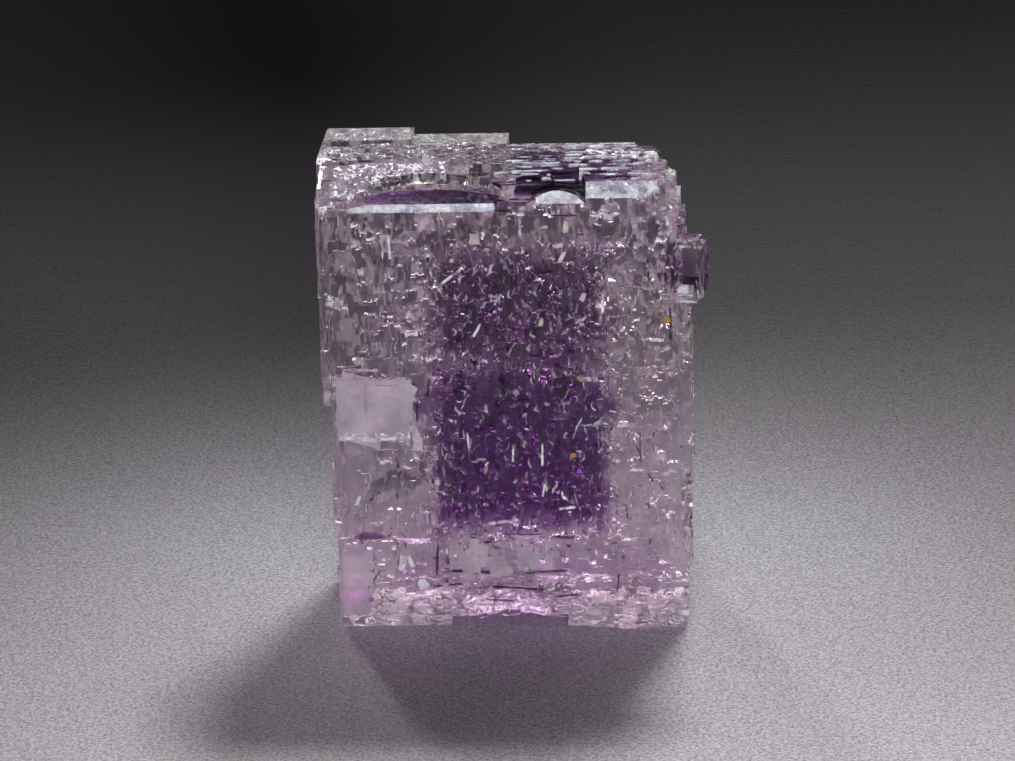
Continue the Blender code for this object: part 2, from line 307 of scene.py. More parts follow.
def mottle_group():
    """A cloudy blend of two colours. Clouds is their number in a millimetre."""
    tree = bpy.data.node_groups.new("mottle", "ShaderNodeTree")
    for name, kind in (("Clouds", "Float"), ("Dark", "Color"), ("Light", "Color")):
        tree.interface.new_socket(name=name, in_out="INPUT", socket_type="NodeSocket" + kind)
    tree.interface.new_socket(name="Colour", in_out="OUTPUT", socket_type="NodeSocketColor")
    given = add(tree, "NodeGroupInput").outputs
    where = add(tree, "ShaderNodeTexCoord").outputs["Object"]
    clouds = add(tree, "ShaderNodeTexNoise", {
        "Vector": scaled(tree, where, 1 / MM), "Scale": given["Clouds"], "Detail": 3.0})
    sharper = add(tree, "ShaderNodeMapRange", {
        "Value": clouds.outputs["Fac"], "From Min": 0.38, "From Max": 0.62}).outputs["Result"]
    blend = add(tree, "ShaderNodeMix", data_type="RGBA")
    tree.links.new(sharper, blend.inputs["Factor"])
    tree.links.new(given["Dark"], blend.inputs[6])
    tree.links.new(given["Light"], blend.inputs[7])
    add(tree, "NodeGroupOutput", {0: blend.outputs[2]})
    return tree


mottle = mottle_group()

# %% [markdown]
# ## The stones
#
# Clear fluorite bends light a little less than glass does. Its own colour is in its depth, so it is
# given as an absorption in the volume, and the surface is left nearly white. Where the stone is
# finely broken it scatters light like ground glass. A misty face still lets half of the light
# through, a bruised grain a third, and a frosted face hardly any. All four have the same volume,
# because they lie on the same solid.

# %% The clear stone and its three paler finishes

STONE_BENDS = 1.434
BUMP_DEPTH = 0.02 * MM
STONE_DEPTH = ((0.96, 0.69, 0.95), 100.0)


def stone(name, colour, bends, volume, transmission=1.0, clouds=None, **grain):
    """A see-through material. The volume is a colour and a density, clouds a number and a colour."""
    made = bpy.data.materials.new(name)
    made.use_nodes = True
    tree = made.node_tree
    shader = tree.nodes["Principled BSDF"]
    shader.inputs["Base Color"].default_value = (*colour, 1.0)
    shader.inputs["IOR"].default_value = bends
    shader.inputs["Transmission Weight"].default_value = transmission
    shader.inputs["Roughness"].default_value = 0.0
    if clouds:
        blend = add(tree, "ShaderNodeGroup", node_tree=mottle)
        blend.inputs["Clouds"].default_value = clouds[0]
        blend.inputs["Dark"].default_value = (*clouds[1], 1.0)
        blend.inputs["Light"].default_value = (*colour, 1.0)
        tree.links.new(blend.outputs[0], shader.inputs["Base Color"])
    if grain:
        group = add(tree, "ShaderNodeGroup", node_tree=skin)
        for key, value in grain.items():
            group.inputs[key.replace("_", " ").title()].default_value = value
        bump = add(tree, "ShaderNodeBump", {
            "Height": group.outputs["Height"], "Distance": BUMP_DEPTH, "Strength": 1.0})
        tree.links.new(group.outputs["Roughness"], shader.inputs["Roughness"])
        tree.links.new(bump.outputs[0], shader.inputs["Normal"])
    depth = add(tree, "ShaderNodeVolumeAbsorption", {"Color": (*volume[0], 1.0), "Density": volume[1]})
    tree.links.new(depth.outputs[0], tree.nodes["Material Output"].inputs["Volume"])
    return made


clear = stone("clear_fluorite", (0.99, 0.96, 0.99), STONE_BENDS, STONE_DEPTH, 1.0, (0.35, (0.90, 0.92, 0.86)),
              brick_width=0.25, brick_height=0.55, lean=0.8, clear=0.03, etched=0.25,
              back_clear=0.35, back_etched=1.0, back_lean=2.5)
misty = stone("misty_fluorite", (0.96, 0.90, 0.97), STONE_BENDS, STONE_DEPTH, 0.5,
              (0.6, (0.66, 0.60, 0.68)), brick_width=0.3, brick_height=0.7, lean=0.8, clear=0.05, etched=0.2,
              back_clear=0.3, back_etched=0.8, back_lean=1.5)
bruised = stone("bruised_fluorite", (0.76, 0.68, 0.80), STONE_BENDS, STONE_DEPTH, 0.35,
                (1.1, (0.26, 0.19, 0.30)), brick_width=0.12, brick_height=0.16, lean=1.5,
                clear=0.25, etched=0.6, back_clear=0.3, back_etched=0.6, back_lean=1.5)
# On the bevels and the small crystal's lower facet this bluish white is also a painted highlight.
frosted = stone("frosted_fluorite", (0.96, 0.96, 1.0), STONE_BENDS, STONE_DEPTH, 0.12,
                (1.7, (0.42, 0.40, 0.52)), brick_width=0.12, brick_height=0.16, lean=1.5,
                clear=0.2, etched=0.5, back_clear=0.3, back_etched=0.6, back_lean=1.5)

STONES = {"Clear Stone": clear, "Misty Stone": misty, "Bruised Stone": bruised, "Frosted Stone": frosted}

# %% [markdown]
# ## The growth steps
#
# Seen from close by, every side of the crystal is built of small rectangles. Each is a thin layer
# that stopped growing a little higher or lower than its neighbours, and leans by a degree or two.
# Those leans are what makes the stone glitter, so they have to be real faces.
#
# A Geometry Nodes tree makes them. It lays a loose grid of points beside the crystal, shoots each
# point at it, puts a small block where the point lands, and joins the blocks on with a Mesh
# Boolean. With its Cut input on, it takes the blocks away and leaves pits. With its Bruised or its
# Frosted input on, it puts small bent bars in place of the blocks and marks their faces, and the
# marked faces get that paler stone at the end.

# %% A tree that grows steps on one side

SHOOT = 12 * MM  # how far a point looks for the stone
SAME_WAY = math.cos(math.radians(13))  # for faces that look the same way as the side
STRAY = 0.8  # how far a point may stray, in cells of its grid
SHARD_KINDS = 6
BEND, BEND_WAVES, BEND_APART = 4.0, 2.5, 3.7
TAPER = 2.4


def shard_shapes(tree):
    """A few bars of unit size, each bent and tapered in its own way."""
    kinds = add(tree, "GeometryNodeGeometryToInstance")
    for number in range(SHARD_KINDS):
        bar = add(tree, "GeometryNodeMeshCube", {"Size": (1, 1, 1), "Vertices Y": 4})
        where = add(tree, "GeometryNodeInputPosition").outputs[0]
        spot = add(tree, "ShaderNodeSeparateXYZ", {0: where}).outputs
        along = add(tree, "ShaderNodeCombineXYZ", {
            "X": math_node(tree, "MULTIPLY", spot["Y"], BEND_WAVES), "Y": BEND_APART * number}).outputs[0]
        noise = add(tree, "ShaderNodeTexNoise", {"Vector": along, "Scale": 1.0, "Detail": 0.0}).outputs["Fac"]
        bend = math_node(tree, "MULTIPLY", math_node(tree, "SUBTRACT", noise, 0.5), BEND)
        taper = math_node(tree, "SUBTRACT", 1.0, math_node(
            tree, "MULTIPLY", math_node(tree, "MULTIPLY", spot["Y"], spot["Y"]), TAPER))
        across = math_node(tree, "ADD", math_node(tree, "MULTIPLY", spot["X"], taper), bend)
        bent = add(tree, "ShaderNodeCombineXYZ", {"X": across, "Y": spot["Y"], "Z": spot["Z"]}).outputs[0]
        shape = add(tree, "GeometryNodeSetPosition", {"Geometry": bar.outputs[0], "Position": bent})
        tree.links.new(shape.outputs[0], kinds.inputs[0])
    return kinds.outputs[0]


def inside_box(tree, where, middle, region):
    """One where the place is inside the box, and zero outside it."""
    away = vector_node(tree, "ABSOLUTE", vector_node(tree, "SUBTRACT", where, middle))
    over = add(tree, "ShaderNodeSeparateXYZ", {
        0: vector_node(tree, "SUBTRACT", away, scaled(tree, region, 0.5))}).outputs
    farthest = math_node(tree, "MAXIMUM", math_node(tree, "MAXIMUM", over["X"], over["Y"]), over["Z"])
    return math_node(tree, "LESS_THAN", farthest, 0.0)


def finish_stone(tree, geometry, given):
    """Gives the marked faces their pale stones, and every other face the clear one."""
    for name, key in ((None, "Clear Stone"), ("misty", "Misty Stone"),
                      ("bruised", "Bruised Stone"), ("frosted", "Frosted Stone")):
        painted = add(tree, "GeometryNodeSetMaterial", {"Geometry": geometry, "Material": given[key]})
        if name:
            marked = add(tree, "GeometryNodeInputNamedAttribute", {"Name": name}, data_type="BOOLEAN")
            tree.links.new(marked.outputs[0], painted.inputs["Selection"])
        geometry = painted.outputs[0]
    return geometry


def growth_tree():
    """One pass of growth on one side: blocks joined on, blocks cut out, or pale bars joined on."""
    tree, given = geometry_tree(
        "growth_steps", Vector=("Middle", "Turn", "Bare Middle", "Bare Region"),
        Float=("Across", "Up", "Width Low", "Width High", "Stretch Low", "Stretch High",
               "Rise Low", "Rise High", "Root", "Lean", "Spin"),
        Int=("Columns", "Rows", "Seed"), Bool=("Cut", "Bruised", "Frosted"), Material=STONES)

    def chance(kind, lowest, highest, number):
        return random_node(tree, kind, lowest, highest, math_node(tree, "ADD", given["Seed"], number))

    grid = add(tree, "GeometryNodeMeshGrid", {
        "Size X": given["Across"], "Size Y": given["Up"],
        "Vertices X": given["Columns"], "Vertices Y": given["Rows"]})
    cell_across = math_node(tree, "DIVIDE", given["Across"], given["Columns"])
    cell_up = math_node(tree, "DIVIDE", given["Up"], given["Rows"])
    cell = add(tree, "ShaderNodeCombineXYZ", {"X": cell_across, "Y": cell_up}).outputs[0]
    stray = chance("FLOAT_VECTOR", (-STRAY, -STRAY, 0), (STRAY, STRAY, 0), 1)
    strayed = vector_node(tree, "MULTIPLY", cell, stray)
    loose = add(tree, "GeometryNodeSetPosition", {"Geometry": grid.outputs["Mesh"], "Offset": strayed})
    turn = add(tree, "FunctionNodeEulerToRotation", {0: given["Turn"]}).outputs[0]
    beside = add(tree, "GeometryNodeTransform", {
        "Geometry": loose.outputs[0], "Translation": given["Middle"], "Rotation": turn})
    outward = add(tree, "FunctionNodeRotateVector", {"Vector": (0, 0, 1), "Rotation": turn}).outputs[0]
    shot = add(tree, "GeometryNodeRaycast", {
        "Target Geometry": given["Geometry"], "Ray Length": SHOOT,
        "Ray Direction": scaled(tree, outward, -1.0)})
    facing = add(tree, "ShaderNodeVectorMath", {
        0: shot.outputs["Hit Normal"], 1: outward}, operation="DOT_PRODUCT").outputs["Value"]
    bare = inside_box(tree, shot.outputs["Hit Position"], given["Bare Middle"], given["Bare Region"])
    fits = math_node(tree, "SUBTRACT", math_node(tree, "GREATER_THAN", facing, SAME_WAY), bare)
    sound = math_node(tree, "MULTIPLY", shot.outputs["Is Hit"], fits)
    missed = add(tree, "FunctionNodeCompare", {"A": sound, "B": 0.5}, operation="LESS_THAN")
    rise = chance("FLOAT", given["Rise Low"], given["Rise High"], 2)
    landed = vector_node(tree, "ADD", shot.outputs["Hit Position"], scaled(tree, outward, rise))
    kept = add(tree, "GeometryNodeStoreNamedAttribute", {
        "Geometry": beside.outputs[0], "Name": "missed", "Value": missed.outputs[0]},
        data_type="BOOLEAN", domain="POINT")
    put = add(tree, "GeometryNodeSetPosition", {"Geometry": kept.outputs[0], "Position": landed})
    was_missed = add(tree, "GeometryNodeInputNamedAttribute", {"Name": "missed"}, data_type="BOOLEAN")
    points = add(tree, "GeometryNodeDeleteGeometry", {
        "Geometry": put.outputs[0], "Selection": was_missed.outputs[0]}, domain="POINT")
    width = chance("FLOAT", given["Width Low"], given["Width High"], 3)
    stretch = chance("FLOAT", given["Stretch Low"], given["Stretch High"], 4)
    block_size = add(tree, "ShaderNodeCombineXYZ", {
        "X": width, "Y": math_node(tree, "MULTIPLY", width, stretch),
        "Z": math_node(tree, "ADD", given["Root"], rise)}).outputs[0]
    lean_most = add(tree, "ShaderNodeCombineXYZ", {
        "X": given["Lean"], "Y": given["Lean"], "Z": given["Spin"]}).outputs[0]
    lean = chance("FLOAT_VECTOR", scaled(tree, lean_most, -1.0), lean_most, 6)
    leaning = add(tree, "FunctionNodeRotateRotation", {
        "Rotation": turn, "Rotate By": add(tree, "FunctionNodeEulerToRotation", {0: lean}).outputs[0]},
        rotation_space="LOCAL")
    cube = add(tree, "GeometryNodeMeshCube", {"Size": (1, 1, 1)})
    is_pale = add(tree, "FunctionNodeBooleanMath", {0: given["Bruised"], 1: given["Frosted"]}, operation="OR")
    plain = add(tree, "GeometryNodeGeometryToInstance", {0: cube.outputs[0]})
    shape = add(tree, "GeometryNodeSwitch", {
        "Switch": is_pale.outputs[0], "False": plain.outputs[0], "True": shard_shapes(tree)},
        input_type="GEOMETRY")
    kinds = shape.outputs[0]
    for name in ("Bruised", "Frosted"):
        kinds = add(tree, "GeometryNodeStoreNamedAttribute", {
            "Geometry": kinds, "Name": name.lower(), "Value": given[name]},
            data_type="BOOLEAN", domain="FACE").outputs[0]
    lowered = add(tree, "GeometryNodeTranslateInstances", {"Instances": kinds, "Translation": (0, 0, -0.5)})
    blocks = add(tree, "GeometryNodeInstanceOnPoints", {
        "Points": points.outputs[0], "Instance": lowered.outputs[0], "Pick Instance": True,
        "Instance Index": chance("INT", 0, SHARD_KINDS - 1, 7),
        "Rotation": leaning.outputs[0], "Scale": block_size})
    grown = add(tree, "GeometryNodeMeshBoolean", operation="UNION", solver="MANIFOLD")
    tree.links.new(given["Geometry"], grown.inputs["Mesh 2"])
    tree.links.new(blocks.outputs[0], grown.inputs["Mesh 2"])
    pitted = add(tree, "GeometryNodeMeshBoolean", {"Mesh 1": given["Geometry"], "Mesh 2": blocks.outputs[0]},
                 operation="DIFFERENCE", solver="MANIFOLD")
    either = add(tree, "GeometryNodeSwitch", {
        "Switch": given["Cut"], "False": grown.outputs[0], "True": pitted.outputs[0]}, input_type="GEOMETRY")
    real = add(tree, "GeometryNodeRealizeInstances", {"Geometry": either.outputs[0]})
    add(tree, "NodeGroupOutput", {0: finish_stone(tree, real.outputs[0], given)})
    return tree


steps = growth_tree()
print("growth tree:", len(steps.nodes), "nodes")

# %% [markdown]
# ## The solid to start from
#
# A model that comes in as glTF has loose triangles, so its copy is merged first. A Boolean needs
# one closed skin.

# %% A merged copy of the crystal

SAME_CORNER = 0.0005 * MM


def merged_copy(node_name, name):
    """A closed copy of a node of the loaded model."""
    form = bmesh.new()
    form.from_mesh(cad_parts[node_name].data)
    bmesh.ops.remove_doubles(form, verts=form.verts, dist=SAME_CORNER)
    open_edges = sum(1 for edge in form.edges if not edge.is_manifold)
    made = from_form(form, name)
    print(name, "has", len(made.data.polygons), "faces and", open_edges, "open edges")
    return made


block = merged_copy("fluorite_crystal", "crystal_skin")

# %% [markdown]
# ## Steps on every side
#
# The front has two kinds of ground. The clear rim has a few wide, low panels, and the core is rough
# with small upright steps. The back and the sides get wider, stronger steps: nobody sees them
# directly, but they are what we look at through the clear front.
#
# Each pass looks at the stone from a side, which is a turn of the grid of points. The low left of
# the front stays bare, because the stone is smooth there.

# %% Steps on every side

SIDES = {
    "front": (math.radians(90), 0, 0),
    "bevel": (math.radians(45), 0, 0),
    "slope": (math.radians(16), 0, 0),
    "back": (math.radians(90), 0, math.radians(180)),
    "left": (math.radians(90), 0, math.radians(-90)),
    "right": (math.radians(90), 0, math.radians(90)),
    "chamfer": (math.radians(90), 0, math.radians(38)),
    "top": (0, 0, 0),
    "top_across": (0, 0, math.radians(90)),
    "front_across": (math.radians(90), math.radians(90), 0),
}
ROOT, PIT_ROOT = 0.3, 0.5  # how deep a block's foot reaches into the stone, in millimetres
LEFT_LOW = (place(-5.95, -4.0, 6.6), Vector((4.1, 4.0, 12.2)) * MM)


def grow(piece, name, side, middle, area, cells, width, stretch, rise, lean, spin, seed,
         cut=False, finish="clear", bare=(Vector(), Vector())):
    """Adds one pass of the growth tree, with its sizes in millimetres and its angles in degrees."""
    fill_in(piece, name, steps, {
        "Middle": middle, "Turn": SIDES[side], "Across": area[0] * MM, "Up": area[1] * MM,
        "Width Low": width[0] * MM, "Width High": width[1] * MM,
        "Stretch Low": stretch[0], "Stretch High": stretch[1],
        "Rise Low": rise[0] * MM, "Rise High": rise[1] * MM, "Root": (PIT_ROOT if cut else ROOT) * MM,
        "Lean": math.radians(lean), "Spin": math.radians(spin),
        "Columns": cells[0], "Rows": cells[1], "Seed": seed, "Cut": cut, "Bare Middle": bare[0],
        "Bare Region": bare[1], "Bruised": finish == "bruised", "Frosted": finish == "frosted", **STONES})


AHEAD = -9.0  # in front of everything, in millimetres


def front_at(right, up):
    """A point well in front of the crystal, in the same millimetres."""
    return place(right, AHEAD, up)


# The clear rim: wide low panels
grow(block, "front_wide", "front", front_at(0.4, 10.3), (14.4, 17.6), (13, 9),
     (0.4, 1.3), (1.2, 3.0), (0.0, 0.05), 1.2, 0.5, 1, bare=LEFT_LOW)
# The core: small upright steps and pits
grow(block, "front_core", "front", front_at(1.0, 11.6), (8.6, 14.4), (22, 18),
     (0.12, 0.4), (1.4, 3.6), (0.0, 0.08), 6.0, 14.0, 3)
grow(block, "front_pits", "front", front_at(1.0, 11.6), (8.8, 14.6), (20, 14),
     (0.1, 0.32), (1.4, 5.0), (0.02, 0.09), 5.0, 12.0, 2, cut=True)
grow(block, "front_right", "front", front_at(6.9, 10.4), (2.6, 17.0), (7, 30),
     (0.15, 0.55), (0.5, 2.4), (0.0, 0.07), 4.0, 12.0, 10)
grow(block, "front_low", "front", front_at(0.6, 1.9), (13.4, 2.2), (26, 6),
     (0.15, 0.6), (0.25, 1.4), (0.0, 0.08), 5.0, 14.0, 11)
# The sides that are seen through the front
grow(block, "back_wide", "back", place(0.4, 9.0, 10.2), (13.6, 16.8), (18, 14),
     (0.4, 1.3), (0.8, 2.6), (0.01, 0.12), 4.0, 2.0, 4)
grow(block, "back_pits", "back", place(0.3, 9.0, 10.4), (14.6, 17.6), (28, 22),
     (0.15, 0.6), (0.8, 3.6), (0.04, 0.2), 8.0, 12.0, 5, cut=True)
grow(block, "left_steps", "left", place(-13.0, 0.0, 10.6), (6.4, 17.0), (8, 12),
     (0.3, 1.1), (1.0, 3.0), (0.0, 0.03), 1.5, 0.5, 6)
grow(block, "right_steps", "right", place(13.0, 0.2, 8.2), (5.4, 12.6), (8, 10),
     (0.3, 1.1), (1.0, 3.0), (0.0, 0.03), 1.5, 0.5, 7)
# The top
grow(block, "crest_steps", "top", place(-4.0, 1.4, 27.0), (7.0, 3.6), (22, 12),
     (0.12, 0.45), (0.3, 1.2), (-0.04, 0.06), 12.0, 20.0, 8)
grow(block, "stair_layers", "top", place(3.9, -0.4, 27.0), (5.4, 4.8), (10, 24),
     (0.5, 1.8), (0.06, 0.2), (0.0, 0.1), 2.5, 2.0, 9)

# %% [markdown]
# ## Bruised slivers and frosted grains
#
# Where the growth was disturbed, thin slivers stand in the surface. Those of the front are bruised:
# short pale bars that lean every way, and they are what makes the dark core sparkle. The stair on
# top has long frosted lines, laid across. The crest, the bevels and the chamfer are frosted with
# small grains, and so are a few spots that the photograph shows.

# %% Bruised slivers and frosted grains

# Bruised slivers on the front
grow(block, "core_streaks", "front", front_at(1.0, 11.6), (8.4, 14.0), (13, 12),
     (0.03, 0.08), (4.0, 14.0), (-0.01, 0.03), 12.0, 35.0, 40, finish="bruised")
grow(block, "core_grains", "front", front_at(1.0, 11.6), (8.4, 14.0), (15, 17),
     (0.06, 0.16), (1.5, 5.0), (-0.01, 0.05), 16.0, 70.0, 41, finish="bruised")
grow(block, "core_patches", "front", front_at(2.6, 16.4), (4.6, 4.4), (6, 6),
     (0.08, 0.24), (0.5, 2.6), (-0.01, 0.04), 14.0, 70.0, 42, finish="bruised")
grow(block, "rim_streaks", "front", front_at(-5.6, 15.2), (2.6, 9.0), (5, 5),
     (0.03, 0.09), (4.0, 16.0), (-0.01, 0.02), 8.0, 14.0, 49, finish="bruised")
grow(block, "rim_grains", "front", front_at(0.4, 10.3), (14.6, 18.0), (11, 9),
     (0.04, 0.11), (1.4, 5.0), (-0.01, 0.03), 10.0, 70.0, 43, finish="bruised", bare=LEFT_LOW)
grow(block, "right_grains", "front", front_at(6.9, 10.4), (2.4, 17.0), (4, 22),
     (0.05, 0.2), (0.4, 2.4), (-0.01, 0.04), 12.0, 60.0, 44, finish="bruised")
# Frosted lines and grains
for row in (
    ("stair_lines", "top_across", place(3.7, -0.4, 27.0), (4.6, 5.4), (13, 6),
     (0.03, 0.11), (6.0, 18.0), (0.03, 0.12), 3.0, 5.0, 45),
    ("stair_grains", "top", place(5.8, 0.6, 27.0), (2.6, 1.2), (10, 6),
     (0.06, 0.3), (0.3, 1.2), (0.0, 0.1), 20.0, 40.0, 50),
    ("crest_grains", "slope", place(-5.0, -2.2 - 2.5, 21.6 + 8.6), (5.2, 3.0), (24, 14),
     (0.05, 0.2), (0.5, 2.6), (-0.02, 0.05), 16.0, 90.0, 46),
    ("bevel_grains", "bevel", place(6.1, -3.95 - 5.0, 21.6 + 5.0), (3.0, 0.7), (16, 5),
     (0.06, 0.2), (0.5, 2.4), (-0.02, 0.04), 20.0, 90.0, 47),
    ("left_edge_patch", "front", front_at(-7.65, 16.35), (0.7, 0.4), (4, 4),
     (0.1, 0.3), (0.5, 1.4), (0.0, 0.05), 8.0, 20.0, 51),
    ("pale_block_edge", "front", front_at(-5.8, 9.75), (3.2, 0.3), (12, 4),
     (0.08, 0.2), (0.5, 2.4), (0.0, 0.06), 16.0, 90.0, 52),
    ("step_line", "front_across", front_at(5.0, 10.3), (0.04, 2.2), (2, 4),
     (0.05, 0.09), (6.0, 12.0), (0.0, 0.05), 3.0, 2.0, 53),
    ("crest_top_grains", "top", place(-5.6, 1.4, 27.0), (5.0, 3.6), (18, 12),
     (0.04, 0.15), (0.5, 2.6), (-0.01, 0.05), 16.0, 90.0, 55),
    ("chamfer_grains", "chamfer", place(8.2 + 3.1, -4.0 - 3.9, 20.4), (0.7, 2.4), (5, 10),
     (0.05, 0.16), (0.5, 2.6), (-0.01, 0.05), 16.0, 90.0, 56)):
    grow(block, *row, finish="frosted")
# Patches near the foot, and one high up
grow(block, "foot_patches", "front", front_at(0.5, 2.2), (13.6, 3.2), (16, 6),
     (0.1, 0.35), (0.4, 1.8), (0.0, 0.05), 14.0, 60.0, 57, finish="bruised")
grow(block, "upper_patch", "front", front_at(5.05, 20.45), (0.8, 0.25), (5, 3),
     (0.1, 0.3), (0.3, 1.0), (0.0, 0.04), 10.0, 20.0, 54, finish="frosted")

# %% [markdown]
# ## Whole faces that are pale
#
# Some faces are pale all over: the two bright bevels, the lens under the second arch and the small
# crystal's lower facet are frosted, and their white frost is partly a painted highlight that stands in
# for the light these faces catch. The pale block, the small crystal's front and the window-like
# faces near the foot are misty. A second tree marks the faces in a box that look a given way.

# %% Whole faces that are pale


def mark_tree():
    """Marks the faces in a box that look the given way with the name of a finish."""
    tree, given = geometry_tree(
        "marked_faces", Vector=("Middle", "Region", "Way"), Float=("Within",), String=("Finish",),
        Material=STONES)
    where = add(tree, "GeometryNodeInputPosition").outputs[0]
    facing = add(tree, "ShaderNodeVectorMath", {
        0: add(tree, "GeometryNodeInputNormal").outputs[0], 1: given["Way"]},
        operation="DOT_PRODUCT").outputs["Value"]
    turned = math_node(tree, "LESS_THAN", math_node(tree, "ARCCOSINE", facing), given["Within"])
    chosen = math_node(tree, "MULTIPLY", inside_box(tree, where, given["Middle"], given["Region"]), turned)
    marked = add(tree, "GeometryNodeStoreNamedAttribute", {
        "Geometry": given["Geometry"], "Selection": chosen, "Name": given["Finish"], "Value": True},
        data_type="BOOLEAN", domain="FACE")
    real = add(tree, "GeometryNodeRealizeInstances", {"Geometry": marked.outputs[0]})
    add(tree, "NodeGroupOutput", {0: finish_stone(tree, real.outputs[0], given)})
    return tree


marked_faces = mark_tree()


def mark(piece, name, x, y, z, way, within, finish="frosted"):
    """One pass of the marking tree: ranges in millimetres, the angle in degrees."""
    low_corner, high_corner = place(x[0], y[0], z[0]), place(x[1], y[1], z[1])
    fill_in(piece, name, marked_faces, {
        "Middle": (low_corner + high_corner) / 2, "Region": high_corner - low_corner,
        "Way": Vector(way).normalized(), "Within": math.radians(within),
        "Finish": finish, **STONES})


# Painted highlight: the frost on the three bevels and on the small crystal's lower facet is partly real frost
# and partly white paint for the light these faces catch.
mark(block, "left_bevel_frost_and_painted_highlight", (-6.9, 0.3), (-4.6, -3.9), (20.6, 21.2), (0, -1, 1), 22)
mark(block, "arch_bevel_frost_and_painted_highlight", (1.7, 4.5), (-4.5, -3.5), (20.9, 21.6), (0, -1, 1), 22)
mark(block, "right_bevel_frost_and_painted_highlight", (4.4, 8.0), (-4.5, -3.4), (21.1, 22.0), (0, -1, 1), 30)
mark(block, "bud_low_facet_frost_and_painted_highlight", (8.0, 10.0), (-4.9, -3.0), (15.8, 16.9), (0, -1, -1), 35)
mark(block, "bud_high_facet", (8.0, 10.0), (-4.9, -3.0), (18.2, 19.3), (0, -1, 1), 35, "misty")
mark(block, "pale_block", (-7.7, -3.9), (-5.0, -4.3), (9.5, 12.7), (0, -1, 0), 12, "misty")
mark(block, "bud_front", (8.2, 9.9), (-5.2, -4.0), (16.6, 18.6), (0, -1, 0), 20, "misty")
mark(block, "foot_window", (-7.9, -6.4), (-4.9, -4.2), (1.0, 4.2), (0, -1, 0), 12, "misty")
mark(block, "low_bars", (-2.5, 2.6), (-4.7, -4.3), (2.9, 4.35), (0, -1, 0), 12, "misty")

# %% [markdown]
# ## Cracks and veils inside
#
# The stone also has thin flat gaps inside, where growth layers didn't quite meet. A gap in clear
# stone is a small mirror: most of them look dark, and a few that face the light flash white.
#
# This tree scatters thin leaning plates in a region and cuts them out of the stone. The same tree,
# with its Cut input off, joins its blocks in one mass, which the purple zones use.

# %% A tree that scatters blocks in a region


def scatter_tree():
    """Leaning blocks in a region, cut out of the piece or joined to it."""
    tree, given = geometry_tree(
        "scattered_blocks", Vector=("Middle", "Region", "Size Low", "Size High", "Lean"),
        Int=("Count", "Seed"), Bool=("Cut",), Material=STONES)

    def chance(lowest, highest, number):
        seed = math_node(tree, "ADD", given["Seed"], number)
        return random_node(tree, "FLOAT_VECTOR", lowest, highest, seed)

    half = scaled(tree, given["Region"], 0.5)
    spot = vector_node(tree, "ADD", given["Middle"], chance(scaled(tree, half, -1.0), half, 1))
    line = add(tree, "GeometryNodeMeshLine", {"Count": given["Count"]})
    points = add(tree, "GeometryNodeSetPosition", {"Geometry": line.outputs[0], "Position": spot})
    turn = add(tree, "FunctionNodeEulerToRotation", {
        0: chance(scaled(tree, given["Lean"], -1.0), given["Lean"], 2)}).outputs[0]
    cube = add(tree, "GeometryNodeMeshCube", {"Size": (1, 1, 1)})
    blocks = add(tree, "GeometryNodeInstanceOnPoints", {
        "Points": points.outputs[0], "Instance": cube.outputs[0], "Rotation": turn,
        "Scale": chance(given["Size Low"], given["Size High"], 3)}).outputs[0]
    joined = add(tree, "GeometryNodeMeshBoolean", {"Mesh 2": blocks}, operation="UNION", solver="MANIFOLD")
    tree.links.new(given["Geometry"], joined.inputs["Mesh 2"])
    cut = add(tree, "GeometryNodeMeshBoolean", {"Mesh 1": given["Geometry"], "Mesh 2": blocks},
              operation="DIFFERENCE", solver="MANIFOLD")
    either = add(tree, "GeometryNodeSwitch", {
        "Switch": given["Cut"], "False": joined.outputs[0], "True": cut.outputs[0]}, input_type="GEOMETRY")
    real = add(tree, "GeometryNodeRealizeInstances", {"Geometry": either.outputs[0]})
    add(tree, "NodeGroupOutput", {0: finish_stone(tree, real.outputs[0], given)})
    return tree


blocks_in_a_region = scatter_tree()


def scatter(piece, name, x, y, z, count, smallest, largest, lean, seed, material, cut):
    """One pass of the scatter tree: ranges and sizes in millimetres, lean in degrees."""
    low_corner, high_corner = place(x[0], y[0], z[0]), place(x[1], y[1], z[1])
    fill_in(piece, name, blocks_in_a_region, {
        "Middle": (low_corner + high_corner) / 2, "Region": high_corner - low_corner,
        "Size Low": Vector(smallest) * MM, "Size High": Vector(largest) * MM,
        "Lean": [math.radians(angle) for angle in lean], "Count": count, "Seed": seed,
        "Cut": cut, **STONES, "Clear Stone": material})


scatter(block, "core_cracks", (-3.6, 5.2), (-3.9, -0.5), (4.8, 18.6), 620,
        (0.04, 0.012, 0.12), (0.2, 0.03, 0.7), (40, 70, 50), 21, clear, True)
scatter(block, "rim_cracks", (-7.0, 7.8), (-3.3, 2.5), (1.5, 19.5), 90,
        (0.03, 0.012, 0.12), (0.18, 0.03, 0.9), (20, 25, 60), 22, clear, True)

# One big block below the floor trims what hangs over the flat base
scatter(block, "flat_base", (0, 0), (0, 0), (-5.01, -5.01), 1,
        (60, 60, 10), (60, 60, 10), (0, 0, 0), 23, clear, True)

crystal = finished(block, "crystal")
print("materials:", [material.name for material in crystal.data.materials])
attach(crystal, "root")
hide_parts("fluorite_crystal")

# %% [markdown]
# ## The purple zones
#
# The stone turned purple while the middle of it grew. The colour has stepped borders that follow
# the cube, and a break halfway up: above it the purple is greyer. Each zone is a mass of square
# blocks inside the clear stone, and the thin bands are flattened balls. They bend no light, and
# only take colour away: the thinner the piece, the stronger its absorption.

# %% The purple zones

